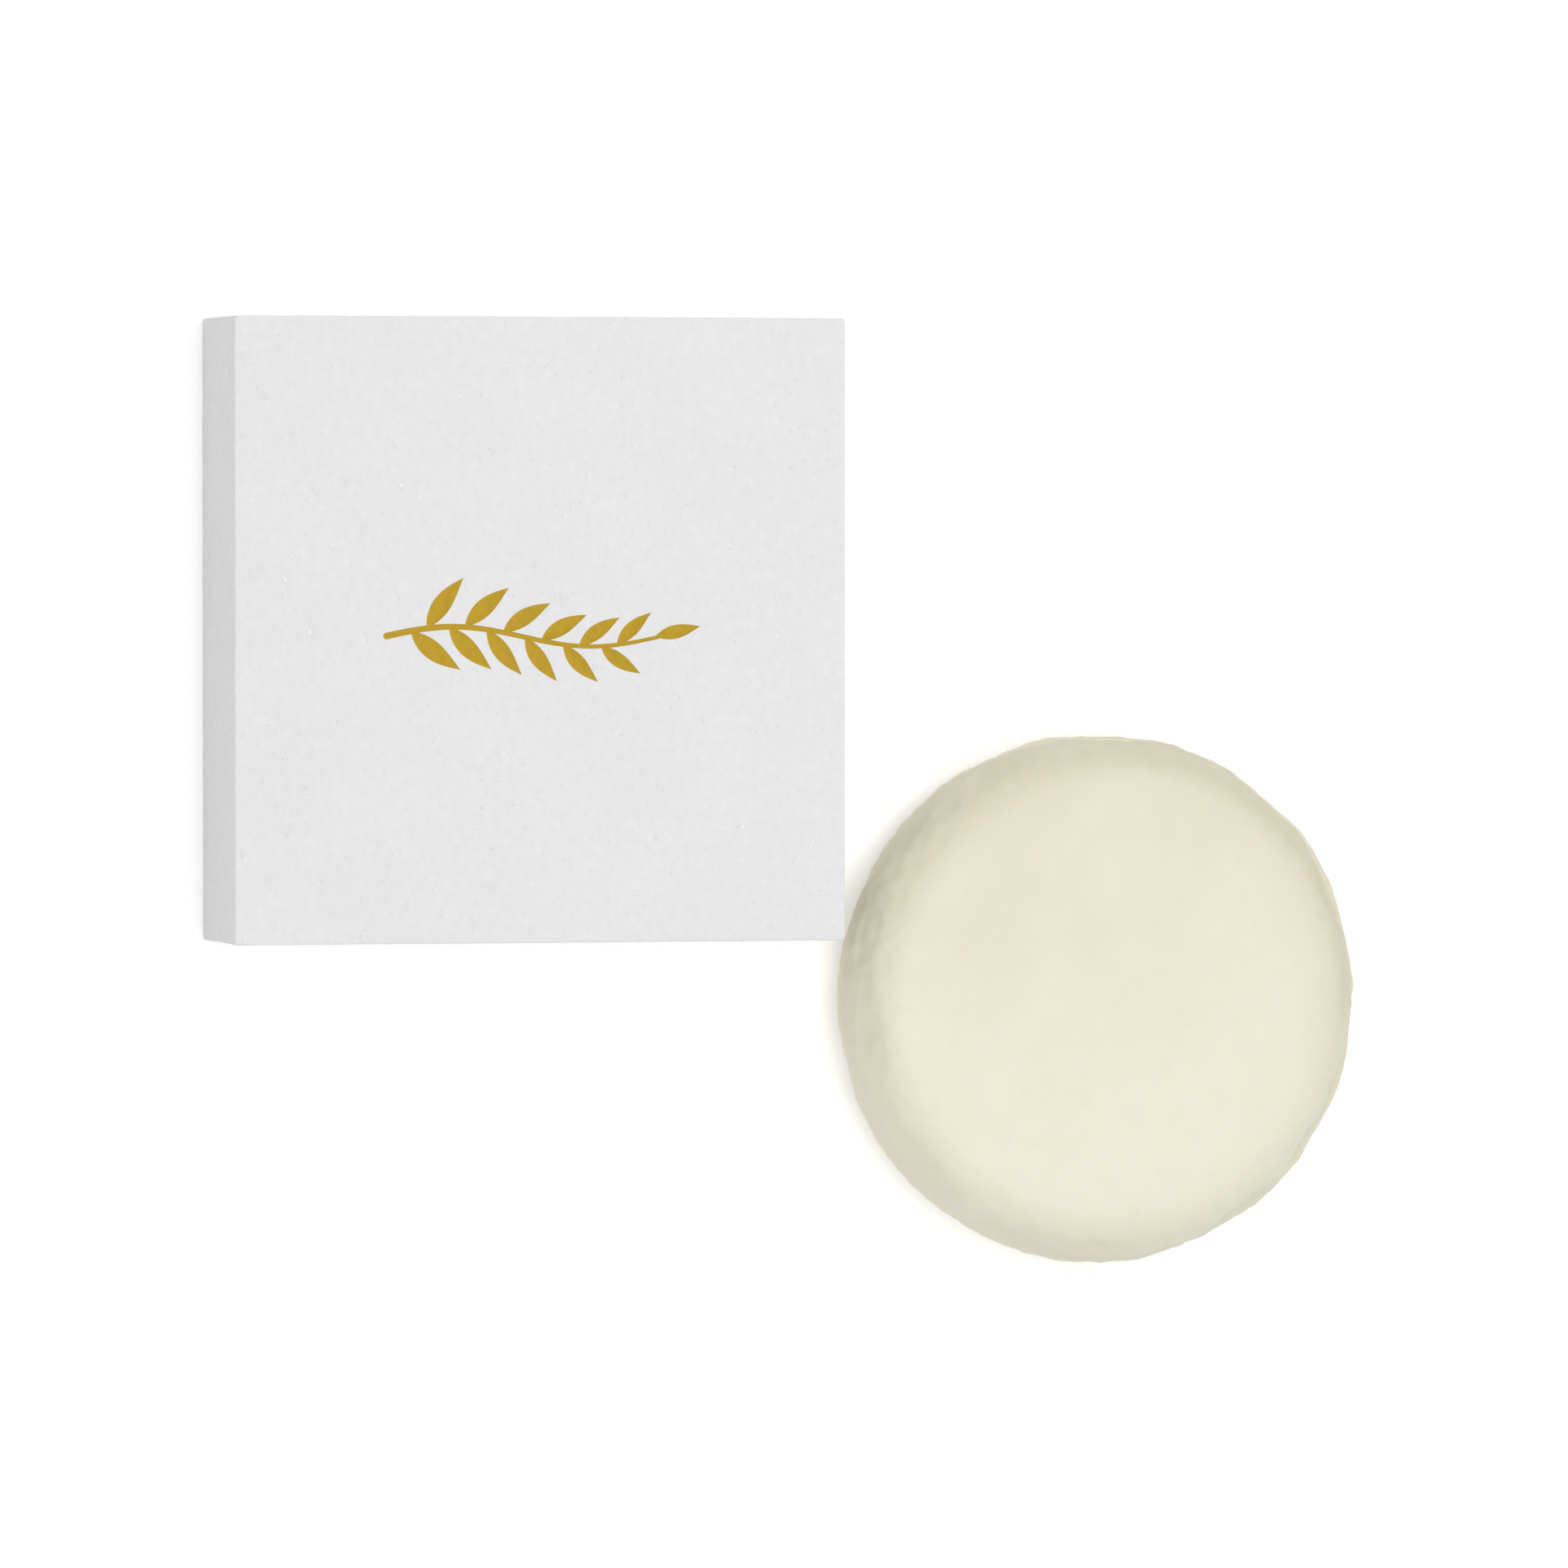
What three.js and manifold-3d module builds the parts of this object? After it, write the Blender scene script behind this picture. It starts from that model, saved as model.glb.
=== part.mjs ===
// A round shaving soap puck lying beside its square, paper-wrapped box with a lift-off lid.
// Millimetres, +Z up. The origin is the centre of the box's underside, left is -X and front is -Y.
import * as THREE from "three";
import { mergeVertices } from "three/addons/utils/BufferGeometryUtils.js";
import Module from "manifold-3d";

const wasm = await Module();
wasm.setup();

// Driving dimensions
const BOX_SIDE = 88; // outside of the closed box
const BOX_HEIGHT = 24;
const BOARD = 1.2; // greyboard of every panel
const WRAP = 0.25; // cotton paper round the lid and the tray
const SHEET = 0.2; // lining and base sheets
const GLASSINE = 0.08;
const STAY = 0.15; // gummed paper folded round each corner
const STAY_LEG = 12; // how far a stay runs along each wall
const GLUE = 0.05; // glue line between any two layers
const STAY_POCKET = 0.3; // from a wall board out to the wrap, with the stay between them
const LID_PLAY = 0.45; // lid to tray, on each side
const LID_RIM = 0.7; // the closed lid's rim above the table
const LID_TURN_IN = 14; // wrap folded up inside the lid
const TRAY_TURN_UNDER = 11; // wrap folded under the tray's bottom
const RIM_PLAY = 0.1; // tray rim to the lining of the closed lid
const SHEET_INSET = 1; // lining and base sheets stop short of the edge they cover

const PUCK_RADIUS = 38.4;
const PUCK_THICKNESS = 18;
const PUCK_EDGE = 8; // radius of the worn edge, top and bottom
const PUCK_CENTRE = new THREE.Vector2(85, -53); // clear of the box's corner by less than 4 mm
const PUCK_SEGMENTS = 64;
const PUCK_ARC_STEPS = 7;

const FOIL = 0.06;
const FOIL_LIFT = 0.02;
const SPRIG_STEM = 40; // stem of the stamped sprig, without its end leaf
const SPRIG_WAVE = 1.4; // how far the stem swings to each side
const SPRIG_PAIRS = 6;
const SPRIG_STEPS = 24; // straight pieces along the stem
const STEM_WIDTH = 0.8;
const LEAF_LENGTH = 9.2;
const LEAF_WIDTH = 2.7;
const LEAF_CURL = 0.12; // how far a leaf's tip curls, as a share of its length
const LEAF_STEPS = 8; // straight pieces along each side of a leaf

// Heights of the closed box's layers, from the top down and from the table up
const LID_BOARD_TOP = BOX_HEIGHT - WRAP - GLUE;
const LID_BOARD_BASE = LID_BOARD_TOP - BOARD;
const LID_LINING_TOP = LID_BOARD_BASE - GLUE;
const LID_LINING_BASE = LID_LINING_TOP - SHEET;
const TRAY_RIM = LID_LINING_BASE - RIM_PLAY;
const TRAY_WRAP_BASE = SHEET + GLUE;
const TRAY_BOARD_BASE = TRAY_WRAP_BASE + WRAP + GLUE;
const TRAY_BOARD_TOP = TRAY_BOARD_BASE + BOARD;
const TRAY_LINING_BASE = TRAY_BOARD_TOP + GLUE;
const LINER_BASE = TRAY_LINING_BASE + SHEET + GLUE;

// Half widths of the closed box's layers, from the outside in
const LID_WRAP_OUT = BOX_SIDE / 2;
const LID_WALL_OUT = LID_WRAP_OUT - WRAP - STAY_POCKET;
const LID_TURN_OUT = LID_WALL_OUT - BOARD - GLUE;
const TRAY_WRAP_OUT = LID_TURN_OUT - WRAP - LID_PLAY;
const TRAY_WALL_OUT = TRAY_WRAP_OUT - WRAP - STAY_POCKET;
const TRAY_TURN_OUT = TRAY_WALL_OUT - BOARD - GLUE;
const TRAY_CLEAR = TRAY_TURN_OUT - WRAP;

const cottonPaper = new THREE.MeshStandardMaterial({ color: 0xe9e9e9, roughness: 0.92, metalness: 0 });
const liningPaper = new THREE.MeshStandardMaterial({ color: 0xf1efe9, roughness: 0.85, metalness: 0 });
const greyboard = new THREE.MeshStandardMaterial({ color: 0x9b938a, roughness: 0.95, metalness: 0 });
const gummedPaper = new THREE.MeshStandardMaterial({ color: 0xb99a6b, roughness: 0.8, metalness: 0 });
const glassine = new THREE.MeshStandardMaterial({ color: 0xe8e2cf, roughness: 0.35, metalness: 0 });
const goldFoil = new THREE.MeshStandardMaterial({ color: 0xc19f27, roughness: 0.4, metalness: 0.7 });
const ivorySoap = new THREE.MeshStandardMaterial({ color: 0xeee9d4, roughness: 0.45, metalness: 0 });

function named(name, geometry, material, x = 0, y = 0, z = 0) {
  const mesh = new THREE.Mesh(geometry, material);
  mesh.name = name;
  mesh.position.set(x, y, z);
  return mesh;
}

// A profile of [half width, height] points carried round four mitred sides.
function squareShell(profile) {
  const points = profile.map(([half, height]) => new THREE.Vector2(half * Math.SQRT2, height));
  return new THREE.LatheGeometry(points, 4, Math.PI / 4).rotateX(Math.PI / 2);
}

// A square flat sheet whose underside is at z = 0.
function flatSheet(half, thickness) {
  return new THREE.BoxGeometry(2 * half, 2 * half, thickness).translate(0, 0, thickness / 2);
}

// Four wall boards: front and back run the full width, left and right stand between them.
function wallBoards(prefix, half, base, top) {
  const middle = half - BOARD / 2;
  const height = top - base;
  const z = (base + top) / 2;
  const long = new THREE.BoxGeometry(2 * half, BOARD, height);
  const short = new THREE.BoxGeometry(BOARD, 2 * (half - BOARD - GLUE), height);
  return [
    named(`${prefix}_front_board`, long, greyboard, 0, -middle, z),
    named(`${prefix}_back_board`, long, greyboard, 0, middle, z),
    named(`${prefix}_left_board`, short, greyboard, -middle, 0, z),
    named(`${prefix}_right_board`, short, greyboard, middle, 0, z),
  ];
}

// An angle of gummed paper round each vertical corner of the wall boards.
function cornerStays(prefix, half, base, top) {
  const inner = half + GLUE;
  const outer = inner + STAY;
  const end = half - STAY_LEG;
  const outline = new THREE.Shape();
  outline.moveTo(outer, end);
  outline.lineTo(outer, outer);
  outline.lineTo(end, outer);
  outline.lineTo(end, inner);
  outline.lineTo(inner, inner);
  outline.lineTo(inner, end);
  outline.closePath();
  const angle = new THREE.ExtrudeGeometry(outline, { depth: top - base, bevelEnabled: false });
  const corners = ["back_right", "back_left", "front_left", "front_right"];
  return corners.map((corner, turn) => {
    const stay = named(`${prefix}_corner_stay_${corner}`, angle, gummedPaper, 0, 0, base);
    stay.rotation.z = (turn * Math.PI) / 2;
    return stay;
  });
}

// The lid's wrap: over the top, down the sides, round the rim and up inside.
function lidWrap() {
  const out = LID_WRAP_OUT;
  const turn = LID_TURN_OUT;
  const turnTop = LID_RIM + LID_TURN_IN;
  return squareShell([
    [0, BOX_HEIGHT - WRAP],
    [out - WRAP, BOX_HEIGHT - WRAP],
    [out - WRAP, LID_RIM + WRAP],
    [turn, LID_RIM + WRAP],
    [turn, turnTop],
    [turn - WRAP, turnTop],
    [turn - WRAP, LID_RIM],
    [out, LID_RIM],
    [out, BOX_HEIGHT],
    [0, BOX_HEIGHT],
  ]);
}

// The tray's wrap: turned under the bottom, up the sides, over the rim and down to the lining.
function trayWrap() {
  const out = TRAY_WRAP_OUT;
  const turn = TRAY_TURN_OUT;
  const under = out - TRAY_TURN_UNDER;
  const turnBase = TRAY_LINING_BASE;
  return squareShell([
    [under, TRAY_WRAP_BASE],
    [out, TRAY_WRAP_BASE],
    [out, TRAY_RIM],
    [turn - WRAP, TRAY_RIM],
    [turn - WRAP, turnBase],
    [turn, turnBase],
    [turn, TRAY_RIM - WRAP],
    [out - WRAP, TRAY_RIM - WRAP],
    [out - WRAP, TRAY_WRAP_BASE + WRAP],
    [under, TRAY_WRAP_BASE + WRAP],
    [under, TRAY_WRAP_BASE],
  ]);
}

// The stem's height at a share of its length, one slow wave from end to end.
function stemHeight(share) {
  return SPRIG_WAVE * Math.sin(2 * Math.PI * share);
}

// The stem's direction there, from the wave's slope.
function stemAngle(share) {
  return Math.atan2(2 * Math.PI * SPRIG_WAVE * Math.cos(2 * Math.PI * share), SPRIG_STEM);
}

function stemOutline() {
  const upper = [];
  const lower = [];
  for (let step = 0; step <= SPRIG_STEPS; step += 1) {
    const share = step / SPRIG_STEPS;
    const x = (share - 0.5) * SPRIG_STEM;
    const half = (STEM_WIDTH / 2) * (1.15 - 0.5 * share);
    upper.push(new THREE.Vector2(x, stemHeight(share) + half));
    lower.unshift(new THREE.Vector2(x, stemHeight(share) - half));
  }
  return new THREE.Shape([...upper, ...lower]);
}

// A pointed leaf from the origin along +X, fullest before its middle, whose tip curls to one side.
function leafOutline(length, width, curl) {
  const upper = [new THREE.Vector2(0, 0)];
  const lower = [];
  for (let step = 1; step < LEAF_STEPS; step += 1) {
    const share = step / LEAF_STEPS;
    const half = (width / 2) * Math.sin(Math.PI * share ** 0.85);
    const middle = curl * length * share ** 2;
    upper.push(new THREE.Vector2(share * length, middle + half));
    lower.unshift(new THREE.Vector2(share * length, middle - half));
  }
  upper.push(new THREE.Vector2(length, curl * length));
  return new THREE.Shape([...upper, ...lower]);
}

function foilPiece(outline, x = 0, y = 0, angle = 0) {
  const geometry = new THREE.ExtrudeGeometry(outline, { depth: FOIL, bevelEnabled: false });
  return geometry.rotateZ(angle).translate(x, y, 0);
}

function toSolid(geometry) {
  const bare = geometry.clone();
  bare.deleteAttribute("normal");
  bare.deleteAttribute("uv");
  const merged = mergeVertices(bare, 1e-4);
  const vertProperties = new Float32Array(merged.attributes.position.array);
  const triVerts = new Uint32Array(merged.index.array);
  return new wasm.Manifold(new wasm.Mesh({ numProp: 3, vertProperties, triVerts }));
}

function joined(pieces) {
  const mesh = pieces.map(toSolid).reduce((whole, piece) => whole.add(piece)).getMesh();
  const geometry = new THREE.BufferGeometry();
  geometry.setAttribute("position", new THREE.BufferAttribute(mesh.vertProperties, 3));
  geometry.setIndex(new THREE.BufferAttribute(mesh.triVerts, 1));
  geometry.computeVertexNormals();
  return geometry;
}

// A sprig lying along X: a waved stem, pairs of leaves that shorten towards its tip, and an end leaf.
function sprig() {
  const pieces = [foilPiece(stemOutline())];
  for (let pair = 0; pair < SPRIG_PAIRS; pair += 1) {
    for (const side of [-1, 1]) {
      const share = 0.1 + (0.82 * (pair + (side > 0 ? 0.42 : 0))) / SPRIG_PAIRS;
      const size = 1 - 0.33 * share;
      const leaf = leafOutline(LEAF_LENGTH * size, LEAF_WIDTH * size, -side * LEAF_CURL);
      const angle = stemAngle(share) + side * THREE.MathUtils.degToRad(56 - 16 * share);
      pieces.push(foilPiece(leaf, (share - 0.5) * SPRIG_STEM, stemHeight(share), angle));
    }
  }
  const tip = leafOutline(0.72 * LEAF_LENGTH, 0.72 * LEAF_WIDTH, 0);
  pieces.push(foilPiece(tip, SPRIG_STEM / 2 - STEM_WIDTH, stemHeight(1), stemAngle(1)));
  const geometry = joined(pieces);
  geometry.computeBoundingBox();
  const middle = geometry.boundingBox.getCenter(new THREE.Vector3());
  return geometry.translate(-middle.x, -middle.y, 0);
}

function lid() {
  const group = new THREE.Group();
  const wallBase = LID_RIM + WRAP + GLUE;
  const wallTop = LID_BOARD_BASE - GLUE;
  group.add(named("lid_top_board", flatSheet(LID_WALL_OUT, BOARD), greyboard, 0, 0, LID_BOARD_BASE));
  group.add(...wallBoards("lid", LID_WALL_OUT, wallBase, wallTop));
  group.add(...cornerStays("lid", LID_WALL_OUT, wallBase + SHEET_INSET, LID_BOARD_TOP - SHEET_INSET));
  const liningHalf = LID_TURN_OUT - SHEET_INSET;
  group.add(named("lid_lining_sheet", flatSheet(liningHalf, SHEET), liningPaper, 0, 0, LID_LINING_BASE));
  group.add(named("lid_paper_wrap", lidWrap(), cottonPaper));
  group.add(named("lid_foil_sprig", sprig(), goldFoil, 0, 0, BOX_HEIGHT + FOIL_LIFT));
  return group;
}

function tray() {
  const group = new THREE.Group();
  const bottomHalf = TRAY_WALL_OUT - BOARD - GLUE;
  const wallTop = TRAY_RIM - WRAP - GLUE;
  const baseHalf = TRAY_WRAP_OUT - SHEET_INSET;
  group.add(named("tray_bottom_board", flatSheet(bottomHalf, BOARD), greyboard, 0, 0, TRAY_BOARD_BASE));
  group.add(...wallBoards("tray", TRAY_WALL_OUT, TRAY_BOARD_BASE, wallTop));
  group.add(...cornerStays("tray", TRAY_WALL_OUT, TRAY_BOARD_BASE + SHEET_INSET, wallTop - SHEET_INSET));
  group.add(named("tray_paper_wrap", trayWrap(), cottonPaper));
  group.add(named("tray_base_sheet", flatSheet(baseHalf, SHEET), liningPaper));
  const liningHalf = TRAY_CLEAR - GLUE;
  group.add(named("tray_lining_sheet", flatSheet(liningHalf, SHEET), liningPaper, 0, 0, TRAY_LINING_BASE));
  const linerHalf = TRAY_CLEAR - SHEET_INSET;
  group.add(named("glassine_liner", flatSheet(linerHalf, GLASSINE), glassine, 0, 0, LINER_BASE));
  return group;
}

// One round block of soap: flat faces and a full, worn edge.
function puck() {
  const inner = PUCK_RADIUS - PUCK_EDGE;
  const points = [new THREE.Vector2(0, 0)];
  for (const [height, start] of [[PUCK_EDGE, -Math.PI / 2], [PUCK_THICKNESS - PUCK_EDGE, 0]]) {
    for (let step = 0; step <= PUCK_ARC_STEPS; step += 1) {
      const angle = start + (Math.PI / 2) * (step / PUCK_ARC_STEPS);
      const arm = new THREE.Vector2(Math.cos(angle), Math.sin(angle)).multiplyScalar(PUCK_EDGE);
      points.push(arm.add(new THREE.Vector2(inner, height)));
    }
  }
  points.push(new THREE.Vector2(0, PUCK_THICKNESS));
  return new THREE.LatheGeometry(points, PUCK_SEGMENTS).rotateX(Math.PI / 2);
}

const group = new THREE.Group();
group.add(tray());
group.add(lid());
group.add(named("soap_puck", puck(), ivorySoap, PUCK_CENTRE.x, PUCK_CENTRE.y));

export default group;
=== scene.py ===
"""A round shaving soap puck lying beside its square, paper-wrapped box with a lift-off lid.

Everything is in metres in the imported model's frame: +Z up, the origin at the centre of the box's
underside. Surfaces are worked out as numpy grids, and finishes are built from shader nodes.
"""

import logging
import math
from dataclasses import dataclass
from enum import Enum

import bpy
import numpy as np
from mathutils import Matrix, Vector


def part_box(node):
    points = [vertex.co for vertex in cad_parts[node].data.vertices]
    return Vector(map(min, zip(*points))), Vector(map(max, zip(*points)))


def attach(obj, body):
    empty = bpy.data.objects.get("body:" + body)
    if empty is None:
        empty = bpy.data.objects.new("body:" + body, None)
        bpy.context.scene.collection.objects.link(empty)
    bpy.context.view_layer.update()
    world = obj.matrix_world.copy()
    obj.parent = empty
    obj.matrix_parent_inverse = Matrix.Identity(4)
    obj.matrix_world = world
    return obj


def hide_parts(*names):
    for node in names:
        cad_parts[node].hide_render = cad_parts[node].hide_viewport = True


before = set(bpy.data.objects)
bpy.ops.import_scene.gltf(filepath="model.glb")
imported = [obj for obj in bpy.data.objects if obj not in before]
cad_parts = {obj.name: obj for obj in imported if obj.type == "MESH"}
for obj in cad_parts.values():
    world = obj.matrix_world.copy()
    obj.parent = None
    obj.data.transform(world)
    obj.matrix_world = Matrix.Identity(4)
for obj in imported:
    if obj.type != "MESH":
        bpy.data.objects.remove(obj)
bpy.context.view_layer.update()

LOG = logging.getLogger("soap_puck")
MM = 0.001
GLUE = 0.05 * MM
WELD = 1e-7
TINY = 1e-9
LARGEST_POWER = 40
SHARP = math.radians(60)
BEND_LINES = np.array([0, 0.3, 0.65])
Colour = tuple[float, float, float]
Stroke = tuple[np.ndarray, np.ndarray]


# ---------------------------------------------------------------- surfaces


@dataclass(frozen=True)
class Unevenness:
    """A smooth random height over space, made of plane waves in random directions.

    The height at a point is the sum of the sines of each wave's direction times the point plus
    its phase, scaled so that its standard deviation is one.
    """

    seed: int
    shortest: float
    longest: float
    waves: int = 40

    def height(self, points: np.ndarray) -> np.ndarray:
        """Works out the height at each point.

        Args:
            points: Any number of rows of three coordinates.

        Returns:
            One height for each row, without a unit.
        """
        chance = np.random.default_rng(self.seed)
        towards = chance.normal(size=(self.waves, 3))
        towards /= np.linalg.norm(towards, axis=1, keepdims=True)
        length = np.exp(chance.uniform(math.log(self.shortest), math.log(self.longest), self.waves))
        phase = chance.uniform(0, 2 * math.pi, self.waves)
        turns = points @ (towards * (2 * math.pi / length)[:, None]).T + phase
        return math.sqrt(2 / self.waves) * np.sin(turns).sum(axis=1)


class Shell:
    """A closed surface gathered as grids of points, welded where the grids' edges meet."""

    def __init__(self) -> None:
        """Starts with no grids."""
        self._points: list[np.ndarray] = []
        self._quads: list[np.ndarray] = []
        self._size = 0

    def grid(self, points: np.ndarray, around: bool = False) -> None:
        """Adds a grid whose neighbouring points are joined by quads.

        Args:
            points: Rows by columns by three coordinates, and a mark where the piece has one.
            around: Whether the last column joins on to the first.
        """
        rows, columns = points.shape[:2]
        index = self._size + np.arange(rows * columns).reshape(rows, columns)
        if around:
            index = np.hstack([index, index[:, :1]])
        corners = (index[:-1, :-1], index[:-1, 1:], index[1:, 1:], index[1:, :-1])
        self._quads.append(np.stack(corners, axis=-1).reshape(-1, 4))
        self._points.append(points.reshape(rows * columns, -1))
        self._size += rows * columns

    def leaf(self, upper: np.ndarray, lower: np.ndarray) -> None:
        """Adds two grids that share their border, face to face.

        Args:
            upper: The grid on the outside.
            lower: A grid of the same size, equal to the first along its border.
        """
        self.grid(upper)
        self.grid(lower[:, ::-1])

    def box(self, lines: tuple[np.ndarray, np.ndarray, np.ndarray], radius: float) -> None:
        """Adds a box with rounded edges.

        Each point of the sharp box is drawn towards its nearest point of the box smaller by the
        radius, until it is one radius away.

        Args:
            lines: The places of the grid's lines along X, Y and Z.
            radius: The radius of the edges.
        """
        low = np.array([line[0] for line in lines]) + radius
        high = np.array([line[-1] for line in lines]) - radius
        for axis in range(3):
            first, second = (axis + 1) % 3, (axis + 2) % 3
            for place in (0, -1):
                a, b = np.meshgrid(lines[first], lines[second], indexing="ij")
                points = np.empty(a.shape + (3,))
                points[..., axis] = lines[axis][place]
                points[..., first], points[..., second] = a, b
                core = np.clip(points, low, high)
                out = points - core
                far = np.linalg.norm(out, axis=-1, keepdims=True)
                points = core + out * (radius / np.maximum(far, TINY))
                self.grid(points if place == 0 else points[::-1])

    def piece(self, name: str, smooth: bool = True) -> bpy.types.Object:
        """Welds the grids and puts them into the scene with their faces outwards.

        Args:
            name: The piece's name.
            smooth: Whether its faces are shaded smooth.

        Returns:
            The new object, at the origin.
        """
        points, marks = np.split(np.concatenate(self._points), [3], axis=1)
        keys = np.round(points / WELD).astype(np.int64)
        _, first, where = np.unique(keys, axis=0, return_index=True, return_inverse=True)
        points = points[first]
        quads = where.reshape(-1)[np.concatenate(self._quads)]
        kept = quads != np.roll(quads, -1, axis=1)
        corners = kept.sum(axis=1)
        threes = corners == 3
        four = quads[corners == 4]
        three = quads[threes][kept[threes]].reshape(-1, 3)
        ends = (four[:, [0, 1, 2]], four[:, [0, 2, 3]], three)
        a, b, c = (points[np.concatenate([end[:, k] for end in ends])] for k in range(3))
        if np.einsum("ij,ij->", a, np.cross(b, c)) < 0:
            four, three = four[:, ::-1], three[:, ::-1]
        mesh = bpy.data.meshes.new(name)
        mesh.from_pydata(points.tolist(), [], four.tolist() + three.tolist())
        mesh.polygons.foreach_set("use_smooth", np.full(len(mesh.polygons), smooth))
        mesh.set_sharp_from_angle(angle=SHARP)
        if marks.size:
            attribute = mesh.attributes.new("mark", "FLOAT", "POINT")
            attribute.data.foreach_set("value", marks[first, 0])
        mesh.update()
        piece = bpy.data.objects.new(name, mesh)
        bpy.context.scene.collection.objects.link(piece)
        return piece


def press(piece: bpy.types.Object, depth: np.ndarray) -> None:
    """Moves each vertex of a piece inwards along its normal.

    Args:
        piece: The piece to change.
        depth: How far each vertex goes in.
    """
    mesh = piece.data
    points = vertices_of(piece)
    normals = np.empty(points.size)
    mesh.vertex_normals.foreach_get("vector", normals)
    moved = points - normals.reshape(-1, 3) * depth[:, None]
    mesh.vertices.foreach_set("co", moved.ravel())
    mesh.update()


def vertices_of(piece: bpy.types.Object) -> np.ndarray:
    """Reads a piece's vertices.

    Args:
        piece: The piece to read.

    Returns:
        Rows of three coordinates.
    """
    points = np.empty(len(piece.data.vertices) * 3)
    piece.data.vertices.foreach_get("co", points)
    return points.reshape(-1, 3)


def corners_of(node: str) -> tuple[np.ndarray, np.ndarray]:
    """Returns the lowest and highest corners of a node of the frame."""
    low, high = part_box(node)
    return np.array(low), np.array(high)


def edge_lines(low: float, high: float, radius: float, count: int) -> np.ndarray:
    """Spaces a grid's lines evenly between two edges, with more of them in the rounding.

    Args:
        low: Where the lines start.
        high: Where they end.
        radius: The radius of the rounded edges.
        count: The number of lines between the roundings.

    Returns:
        The places of the lines.
    """
    bend = radius * BEND_LINES
    inner = np.linspace(low + radius, high - radius, count)
    return np.concatenate([low + bend, inner, high - bend[::-1]])


# ---------------------------------------------------------------- shader nodes


class Socket:
    """An output of a shader node, with arithmetic that adds Math nodes."""

    def __init__(self, tree: "Tree", link: bpy.types.NodeSocket) -> None:
        """Wraps one output.

        Args:
            tree: The tree that the output is in.
            link: The output itself.
        """
        self.tree = tree
        self.link = link

    def _math(self, operation: str, *values: "Socket | float") -> "Socket":
        """Adds a Math node on these values and returns its result."""
        return self.tree.node("ShaderNodeMath", {"operation": operation}, dict(enumerate(values)))

    def __add__(self, other: "Socket | float") -> "Socket":
        """Returns the sum."""
        return self._math("ADD", self, other)

    __radd__ = __add__

    def __sub__(self, other: "Socket | float") -> "Socket":
        """Returns the difference."""
        return self._math("SUBTRACT", self, other)

    def __rsub__(self, other: float) -> "Socket":
        """Returns the number less this value."""
        return self._math("SUBTRACT", other, self)

    def __mul__(self, other: "Socket | float") -> "Socket":
        """Returns the product."""
        return self._math("MULTIPLY", self, other)

    __rmul__ = __mul__

    def __truediv__(self, other: "Socket | float") -> "Socket":
        """Returns the quotient."""
        return self._math("DIVIDE", self, other)

    def __abs__(self) -> "Socket":
        """Returns this value without its sign."""
        return self._math("ABSOLUTE", self)

    def above(self, low: float, high: float) -> "Socket":
        """Returns 0 under the low value and 1 over the high one, with a smooth step between them."""
        settings = {"interpolation_type": "SMOOTHSTEP"}
        return self.tree.node("ShaderNodeMapRange", settings, {0: self, 1: low, 2: high})


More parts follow.
